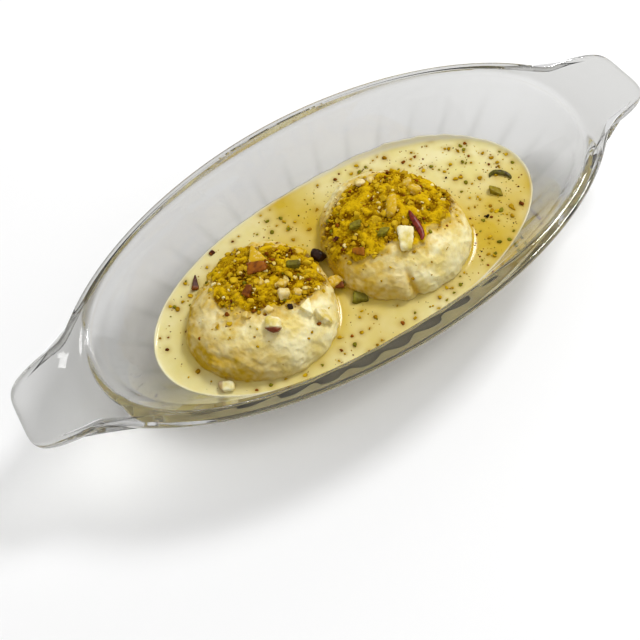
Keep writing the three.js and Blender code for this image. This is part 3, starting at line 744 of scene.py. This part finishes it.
def grain_material(name, deep, pale):
    """Broken nut, damp with milk: each grain has its own shade, and the shade drifts
    over a few millimetres, as it does where a pinch of one sort has landed."""
    material = new_material(name)
    shade = add(material, "Attribute", {"attribute_name": "shade"}).outputs["Fac"]
    place = add(material, "TexCoord").outputs["Object"]
    drift = add(material, "TexNoise", {"Scale": 1 / (3 * MM), "Detail": 3.0}, {"Vector": place})
    pinch = add(material, "MapRange", {"From Min": 0.36, "From Max": 0.64}, {"Value": drift})
    both = add(material, "Math", {"operation": "MULTIPLY_ADD", 1: 0.5}, {0: shade, 2: pinch})
    share = add(material, "MapRange", {"From Max": 1.5}, {"Value": both})
    tint = add(material, "Mix", {6: colour(deep), 7: colour(pale)}, {0: share})
    body = add(material, "BsdfPrincipled", {
        "Roughness": 0.55,
        "IOR": 1.4,
        "Specular IOR Level": 0.06,
        "Subsurface Weight": 0.15,
        "Subsurface Radius": (1.0, 0.6, 0.2),
        "Subsurface Scale": 0.8 * MM,
    }, {"Base Color": tint})
    add(material, "OutputMaterial", {}, {"Surface": body})
    return material


grain_materials = {}
for kind, (shades, count, (small, large), stray) in GROUND_NUTS.items():
    grain_materials[kind] = grain_material("ground_nut_" + kind, *shades)
    rng = np.random.default_rng(500 + len(grain_materials))
    places = []
    for patty in PATTIES.values():
        spots = rng.uniform(-WIDEST, WIDEST, (count * 12, 2))
        margin = dust_margin(patty, *spots.T)
        chance = np.maximum(smooth_step(-6.5, 2.5, margin) ** 2.4, stray * smooth_step(-24, -4, margin))
        landed = rng.uniform(0, 1, len(spots)) < chance
        spots = spots[landed & (np.hypot(*spots.T) < patty["radius"] - 1)][:count]
        depth = DUST_DEPTH * smooth_step(-1, 2, dust_margin(patty, *spots.T))
        height = CREAM_LEVEL + dome_height(patty, *spots.T) + depth
        places.append(np.column_stack([spots + (patty["x"], patty["y"]), height]))
    places = np.concatenate(places)
    sizes = small + (large - small) * rng.power(0.6, len(places))
    places[:, 2] += sizes * rng.uniform(-0.2, 0.18, len(places))
    strew(kind, places, sizes, 0.85, rng, grain_materials[kind])


# ------------------------ the chopped nuts
# Pieces of almond and pistachio cut with a knife, larger than the rest: white almond
# with flat cut faces, some with brown skin left on, red slivers of skin, olive-green
# pistachio with its purple skin, and one dark roasted piece between the patties.

IMAGE_UP = 55.0  # degrees round the dish that the camera sees as up
NUT_RELIEF = 0.16
CUT_SLANT = 0.16  # how far a cut is off square


def block(length, width, height, edge=8):
    """Walls of a cut block: the way each faces and how far it is from the middle, then
    how sharp the edges between them are."""
    sizes = zip(np.eye(3), (length, width, height))
    return [(way * side, size / 2) for way, size in sizes for side in (1, -1)], edge


def wedge(length, width, height, edge=10):
    """Walls of a three-cornered chip, its point ahead."""
    half = math.atan2(width / 2, length)
    side = length * 2 / 3 * math.sin(half)
    walls = [((-1, 0, 0), length / 3), ((math.sin(half), math.cos(half), 0), side)]
    walls += [((math.sin(half), -math.cos(half), 0), side), ((0, 0, 1), height / 2), ((0, 0, -1), height / 2)]
    return walls, edge


def cut_piece(walls, edge, seed):
    """Points and faces of a piece with these walls, none of them cut quite square."""
    points, faces = ball(4, 1)
    ways = unit(points)
    rng = np.random.default_rng(seed)
    pull = 0
    for way, distance in walls:
        tilted = unit(way + rng.normal(0, CUT_SLANT, 3))
        pull = pull + np.maximum(0, ways @ tilted / (distance * rng.uniform(0.88, 1.08))) ** edge
    points = ways * (pull ** (-1 / edge))[:, None]
    return points * (1 + NUT_RELIEF * rough_noise(points + seed * 9.1, 1.3, seed, 3)[:, None]), faces


def resting(at, turn, lean):
    """Axes and place of a piece that lies at part millimetres on what is below it, its
    length turned round from the dish's length and its far end lifted by lean degrees."""
    x, y, rise = at
    normal = np.array([0.0, 0.0, 1.0])
    height = CREAM_LEVEL
    for patty in PATTIES.values():
        u, v = x - patty["x"], y - patty["y"]
        if math.hypot(u, v) < patty["radius"] - 1.0:
            near = dome_height(patty, np.array([u, u + 0.5, u]), np.array([v, v, v + 0.5]))
            normal = np.array([near[0] - near[1], near[0] - near[2], 0.5])
            height = CREAM_LEVEL + near[0] + DUST_DEPTH * 0.6
    normal = unit(normal)
    ahead = np.array([math.cos(math.radians(turn)), math.sin(math.radians(turn)), 0])
    ahead = unit(ahead - normal * (ahead @ normal))
    aside = np.cross(normal, ahead)
    lift_angle = math.radians(lean)
    tipped = ahead * math.cos(lift_angle) + normal * math.sin(lift_angle)
    axes = np.stack([tipped, aside, np.cross(tipped, aside)], axis=1)
    return axes, np.array([x, y, height]) + normal * rise


def nut_material(name, tints, patch_size, shine):
    """Cut nut, moist: pale flesh mottled in patches, its skin where the piece keeps it."""
    material = new_material(name)
    flesh, mottle, peel = tints
    place = add(material, "TexCoord").outputs["Object"]
    patches = add(material, "TexNoise", {"Scale": 1 / (patch_size * MM), "Detail": 4.0}, {"Vector": place})
    share = add(material, "MapRange", {"From Min": 0.42, "From Max": 0.68}, {"Value": patches})
    mottled = add(material, "Mix", {6: colour(flesh), 7: colour(mottle)}, {0: share})
    powder = add(material, "TexNoise", {"Scale": 1 / (1.1 * MM), "Detail": 3.0}, {"Vector": place})
    cling = add(material, "MapRange", {"From Min": 0.3, "From Max": 0.6, "To Min": 0.5}, {"Value": powder})
    # golden dust clings in patches, and the skin is whole where there is any
    for attribute, tint, share in (("golden", "#C8A008", cling), ("peel", peel, None)):
        amount = add(material, "Attribute", {"attribute_name": attribute}).outputs["Fac"]
        if share:
            clamped = {"operation": "MULTIPLY", "use_clamp": True}
            amount = add(material, "Math", clamped, {0: amount, 1: share})
        mottled = add(material, "Mix", {7: colour(tint)}, {0: amount, 6: mottled})
    fibres = add(material, "TexNoise", {"Scale": 1 / (0.5 * MM), "Detail": 3.0}, {"Vector": place})
    fibrous = add(material, "Bump", {"Strength": 0.35, "Distance": 0.1 * MM}, {"Height": fibres})
    body = add(material, "BsdfPrincipled", {
        "Roughness": shine,
        "IOR": 1.45,
        "Specular IOR Level": 0.2,
        "Subsurface Weight": 0.15,
        "Subsurface Radius": (1.0, 0.85, 0.4),
        "Subsurface Scale": 0.8 * MM,
    }, {"Base Color": mottled, "Normal": fibrous})
    add(material, "OutputMaterial", {}, {"Surface": body})
    return material


CHOPPED_NUTS = {
    # place in the dish with the rise of its middle, walls, turn, lean, golden, peel side
    "blanched_almond": [
        ((-35.4, -13.4, 1.2), block(5.0, 5.4, 4.4, 2.6), IMAGE_UP, 12, 0.05, 1.0),  # tip in its skin
        ((-24.0, -13.2, 0.6), wedge(6.0, 4.2, 2.2), 150, 8, 0.0, 0.0),  # white chip
        ((-20.4, -17.4, 0.4), block(6.0, 4.4, 2.0), -20, 0, 0.25, 0.0),  # beige chip
        ((-27.5, -6.4, 0.8), block(3.4, 3.2, 2.8, 5), -20, 0, 0.6, 0.0),
        ((-34.2, -8.0, 0.4), block(2.6, 2.4, 2.0, 4), 20, 0, 0.6, 0.0),
        ((-41.2, -5.4, 0.3), block(2.2, 2.0, 1.6, 4), 50, 0, 0.8, 0.0),
        ((-27.6, 11.6, 0.5), wedge(7.6, 7.0, 2.2, 7), IMAGE_UP + 8, 24, 1.3, 0.0),  # mustard shard
        ((-31.6, 1.4, 0.6), block(2.2, 1.9, 1.7, 4), 10, 0, 1.0, 0.0),
        ((-26.0, -2.4, 0.7), block(3.4, 2.8, 2.2, 4), 30, 0, 1.0, 0.0),
        ((-23.5, -7.6, 0.6), block(2.8, 2.3, 1.9, 4), -40, 0, 0.9, 0.0),
        ((15.7, -11.0, 1.1), block(8.0, 4.2, 3.2), IMAGE_UP + 4, 6, 0.06, 0.0),  # white block
        ((18.5, 1.4, 1.1), block(7.6, 3.6, 3.2, 4), IMAGE_UP + 8, 10, 1.2, 0.0),  # golden baton
        ((29.7, 3.9, 0.6), block(4.8, 4.2, 3.0, 3), 20, 0, 1.2, 0.0),
        ((29.2, 7.8, 0.6), block(3.6, 3.0, 2.4, 3), 60, 0, 1.1, 0.0),
        ((17.0, 17.4, 0.4), block(3.4, 2.8, 2.2, 3), -20, 0, 0.5, 0.0),
        ((20.2, 16.6, 0.4), block(2.8, 2.4, 2.0, 3), 30, 0, 0.6, 0.0),
        ((-9.3, -6.0, 2.4), block(5.0, 3.8, 3.0, 5), 5, 0, 1.1, 0.0),  # between the patties
        ((-57.2, -18.2, 0.7), block(4.8, 3.6, 3.0, 4), -26, 0, 0.05, 0.55),  # in the milk
    ],
    "almond_skin": [
        ((-29.6, 7.2, 0.9), block(7.0, 4.2, 1.6), -26, 14, 0.0, 0.3),  # rust flake
        ((-36.6, 1.2, 0.7), block(3.6, 2.8, 1.8), 40, 0, 0.0, 0.6),
        ((1.6, -5.6, 0.7), block(3.8, 2.4, 1.6), -26, 0, 0.1, 0.2),
        ((-1.4, 3.9, 0.5), block(1.9, 1.5, 1.2), 0, 0, 0.0, 1.0),
        ((-8.6, -7.9, 2.2), block(3.6, 2.4, 1.6), -30, 0, 0.0, 0.6),  # between the patties
        ((-48.0, 21.4, 0.5), block(5.6, 1.7, 1.3), 62, 0, 0.0, 1.0),  # in the milk
        ((-37.5, 29.0, 0.4), block(2.0, 1.4, 1.0), 20, 0, 0.0, 1.0),
    ],
    "pistachio": [
        ((-19.4, 2.6, 0.9), block(3.9, 2.3, 2.0), -30, 10, 0.0, 0.5),
        ((11.3, -4.9, 0.8), block(3.4, 2.9, 2.2), 40, 0, 0.1, 0.2),
        ((6.1, 2.7, 0.9), block(3.6, 2.7, 2.2), -20, 0, 0.1, 0.25),
        ((-4.8, -15.4, 0.6), block(5.4, 3.2, 2.4), -28, 0, 0.05, 0.35),  # in the milk
        ((57.2, -6.3, 0.3), block(4.6, 3.0, 1.4), -40, 0, 0.35, 0.25),
    ],
    "dark_roasted_nut": [
        ((-8.9, 4.8, 4.3), block(4.0, 4.6, 4.2, 3), 10, 12, 0.0, 0.0),  # between the patties
        ((-27.9, -10.7, 0.4), block(1.7, 1.2, 1.1), -20, 0, 0.0, 0.0),
    ],
}
NUT_TINTS = {
    # flesh, mottling and skin, size of the mottling, roughness
    "blanched_almond": (("#F2EABF", "#DAC45A", "#7A3A1E"), 3.4, 0.4),
    "almond_skin": (("#A45E02", "#6C3602", "#4A1C04"), 1.6, 0.4),
    "pistachio": (("#8A841A", "#5E5810", "#3A1E10"), 1.4, 0.4),
    "dark_roasted_nut": (("#301808", "#120804", "#120804"), 1.5, 0.35),
}
nut_materials = {kind: nut_material(kind, *look) for kind, look in NUT_TINTS.items()}
for kind, nuts in CHOPPED_NUTS.items():
    points, faces, golden, peel = [], [], [], []
    for number, (at, (walls, edge), turn, lean, gold, peeled) in enumerate(nuts):
        shape, triangles = cut_piece(walls, edge, 3 * number + len(kind))
        axes, middle = resting(at, turn, lean)
        faces.append(triangles + sum(len(p) for p in points))
        points.append(shape @ axes.T + middle)
        low_side = smooth_step(0.3, 0.5, -(shape @ (1, 0, 0.1)) / np.abs(shape).max())
        golden.append(gold * np.ones(len(shape)))
        peel.append(peeled * (low_side if kind == "blanched_almond" else 1 - 0.5 * low_side))
    piece = new_piece(kind + "_pieces", np.concatenate(points), np.concatenate(faces).tolist())
    keep_on_points(piece, "golden", np.concatenate(golden))
    keep_on_points(piece, "peel", np.concatenate(peel))
    piece.data.materials.append(nut_materials[kind])
    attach(piece, "root")


# ------------------------ the slivers
# Thin curled strips: wet red almond skin on the right patty, and two slices from the
# edge of a pistachio that float in the milk at the right.

SLIVERS = {
    # half width, its nut's tints, points along it in the dish with their rise
    "red_sliver": (1.2, ("#7E2A18", "#571408", "#7E2A18"), [
        (22.4, -3.6, 1.5), (22.0, -6.6, 1.2), (21.5, -9.6, 1.0), (21.1, -12.0, 1.2), (19.6, -14.2, 1.5),
    ]),
    "pistachio_slice": (1.0, ("#5E5A14", "#33240C", "#2A100C"), [
        (59.2, -0.2, 0.3), (61.2, 0.3, 0.5), (63.2, -0.8, 0.5), (64.6, -3.0, 0.4), (64.8, -5.0, 0.2),
    ]),
}
HALF_THICKNESS = 0.6
SLIVER_STEPS = 40
SLIVER_AROUND = 16
for number, (name, (half_width, tints, path)) in enumerate(SLIVERS.items()):
    knots = np.array([resting(at, 0, 0)[1] for at in path])
    along = np.linspace(0, 1, SLIVER_STEPS)
    bends = np.polynomial.polynomial.polyfit(np.linspace(0, 1, len(knots)), knots, 3)
    centre = np.polynomial.polynomial.polyval(along, bends).T
    ahead = unit(np.gradient(centre, axis=0))
    aside = unit(np.cross(ahead, (0, 0, 1)))
    upward = np.cross(aside, ahead)
    taper = np.sqrt(np.sin(math.pi * (0.03 + 0.94 * along)))
    round_it = np.arange(SLIVER_AROUND) / SLIVER_AROUND * 2 * math.pi
    rings = []
    for k in range(SLIVER_STEPS):
        across = half_width * taper[k] * np.cos(round_it)[:, None] * aside[k]
        rings.append(centre[k] + across + HALF_THICKNESS * taper[k] * np.sin(round_it)[:, None] * upward[k])
    piece = skin(name, centre[0] - ahead[0] * 0.3, rings, centre[-1] + ahead[-1] * 0.3)
    co = read_points(piece) / MM
    co += 0.12 * np.stack([rough_noise(co, 1.4, 70 + k + 3 * number, 2) for k in range(3)], axis=1)
    piece.data.vertices.foreach_set("co", (co * MM).ravel())
    piece.data.materials.append(nut_material(name + "_skin", tints, 1.2, 0.3))
    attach(piece, "root")


# ------------------------ specks in the milk
# Nut dust that missed the patties: from grains that float half sunk, each in a halo
# of its own colour, down to specks. There is more of it at the far side and the right.

SPECKS = {
    # sorts of ground nut, how many, smallest and largest across
    "olive_specks": ("green_grains", 110, (0.5, 2.1)),
    "mustard_specks": ("mustard_grains", 330, (0.45, 2.1)),
    "brown_specks": ("skin_grains", 90, (0.5, 1.9)),
    "black_specks": ("dark_specks", 60, (0.3, 0.9)),
}
PLAIN_SPECKS = {
    # places in the dish of specks that stand out, and their size
    "olive_specks": [(53.8, -13.6, 2.2), (45.5, -23.4, 1.9), (-15.7, -28.4, 1.9), (59.2, 14.7, 1.9)],
    "mustard_specks": [(55.2, 18.2, 1.7), (40.8, -27.0, 1.8), (-4.9, -23.6, 1.8), (-11.6, -25.8, 1.6)],
    "brown_specks": [(60.9, -15.5, 2.2), (52.0, 25.4, 1.9), (-20.4, -27.6, 1.8), (-59.0, 6.9, 1.4)],
    "black_specks": [(48.4, -12.9, 2.0), (46.5, 8.5, 1.2)],
}
HALO_FROM = 0.9  # smallest speck with a halo

halo = np.zeros(len(cream.data.vertices))
surface_points = read_points(cream) / MM
for number, (name, (sort, count, (small, large))) in enumerate(SPECKS.items()):
    rng = np.random.default_rng(900 + number)
    spots = rng.uniform(-1, 1, (count * 8, 2)) * CREAM_EDGE[:2]
    a, b, n = CREAM_EDGE
    inside = np.abs(spots[:, 0] / (a - 1)) ** n + np.abs(spots[:, 1] / (b - 1)) ** n < 1
    chance = 0.35 + 0.5 * smooth_step(-10, 45, spots[:, 0]) + 0.3 * smooth_step(0, 20, spots[:, 1])
    landed = rng.uniform(0, 1, len(spots)) < chance
    spots = spots[inside & landed & (beside_patties(*spots.T) > 0.6)][:count]
    sizes = small + (large - small) * rng.power(0.45, len(spots)) ** 2
    stand_out = np.array(PLAIN_SPECKS[name])
    spots = np.concatenate([spots, stand_out[:, :2]])
    sizes = np.concatenate([sizes, stand_out[:, 2]])
    for (x, y), size in zip(spots, sizes):
        if size > HALO_FROM:
            away = np.hypot(surface_points[:, 0] - x, surface_points[:, 1] - y)
            halo = np.maximum(halo, 0.55 * np.exp(-(away / (0.9 * size)) ** 2))
    places = lift(spots, CREAM_LEVEL + 0.06 * sizes)
    strew(name, places, sizes, 0.5, rng, grain_materials[sort])
keep_on_points(cream, "halo", halo)


# ------------------------ floor
# A matt white board, out of the picture's reach on every side.
FLOOR_REACH = 4000.0
corners = [(x * FLOOR_REACH, y * FLOOR_REACH, 0) for x, y in ((-1, -1), (1, -1), (1, 1), (-1, 1))]
floor = new_piece("white_board", corners, [(0, 1, 2, 3)], smooth=False)
board = new_material("matt_white_board")
body = add(board, "BsdfPrincipled", {
    "Base Color": colour("#F6F6F6"),
    "Roughness": 0.9,
    "Specular IOR Level": 0.1,
})
add(board, "OutputMaterial", {}, {"Surface": body})
floor.data.materials.append(board)


# ------------------------ light
# An even white room and one soft box high on the right.
SOFT_BOX_AT = (0.62, 0.16, 0.78)
SOFT_BOX_SIZE = 0.22
SOFT_BOX_WATTS = 5.7

scene = bpy.context.scene
room = bpy.data.worlds.new("white_room")
scene.world = room
room.use_nodes = True
room.node_tree.nodes["Background"].inputs["Color"].default_value = (1, 1, 1, 1)
room.node_tree.nodes["Background"].inputs["Strength"].default_value = 0.72
lamp = bpy.data.lights.new("soft_box", "AREA")
lamp.size = SOFT_BOX_SIZE
lamp.energy = SOFT_BOX_WATTS
soft_box = bpy.data.objects.new("soft_box", lamp)
soft_box.location = SOFT_BOX_AT
soft_box.rotation_euler = Vector(SOFT_BOX_AT).to_track_quat("Z", "Y").to_euler()
scene.collection.objects.link(soft_box)
scene.cycles.max_bounces = 32
scene.cycles.transmission_bounces = 32
scene.cycles.glossy_bounces = 16
scene.cycles.transparent_max_bounces = 16
scene.view_settings.view_transform = "Standard"


# ------------------------ camera
# It looks down steeply from the near left and is turned, so the dish lies across the
# picture from the lower left to the upper right.
AZIMUTH = math.radians(-22.33)
ELEVATION = math.radians(62.08)
ROLL = math.radians(-10.83)
CAMERA_AT = (-66.97, -127.97, 248.91)
LENS_IN_PICTURE_WIDTHS = 1.253

lens = bpy.data.cameras.new("camera")
lens.lens = lens.sensor_width * LENS_IN_PICTURE_WIDTHS
camera = bpy.data.objects.new("camera", lens)
scene.collection.objects.link(camera)
outward = Vector((math.sin(AZIMUTH), -math.cos(AZIMUTH), 0))
back = outward * math.cos(ELEVATION) + Vector((0, 0, math.sin(ELEVATION)))
level = Vector((math.cos(AZIMUTH), math.sin(AZIMUTH), 0))
upright = back.cross(level)
across = level * math.cos(ROLL) + upright * math.sin(ROLL)
turn = Matrix((across, back.cross(across), back)).transposed().to_4x4()
camera.matrix_world = Matrix.Translation(Vector(CAMERA_AT) * MM) @ turn
scene.camera = camera
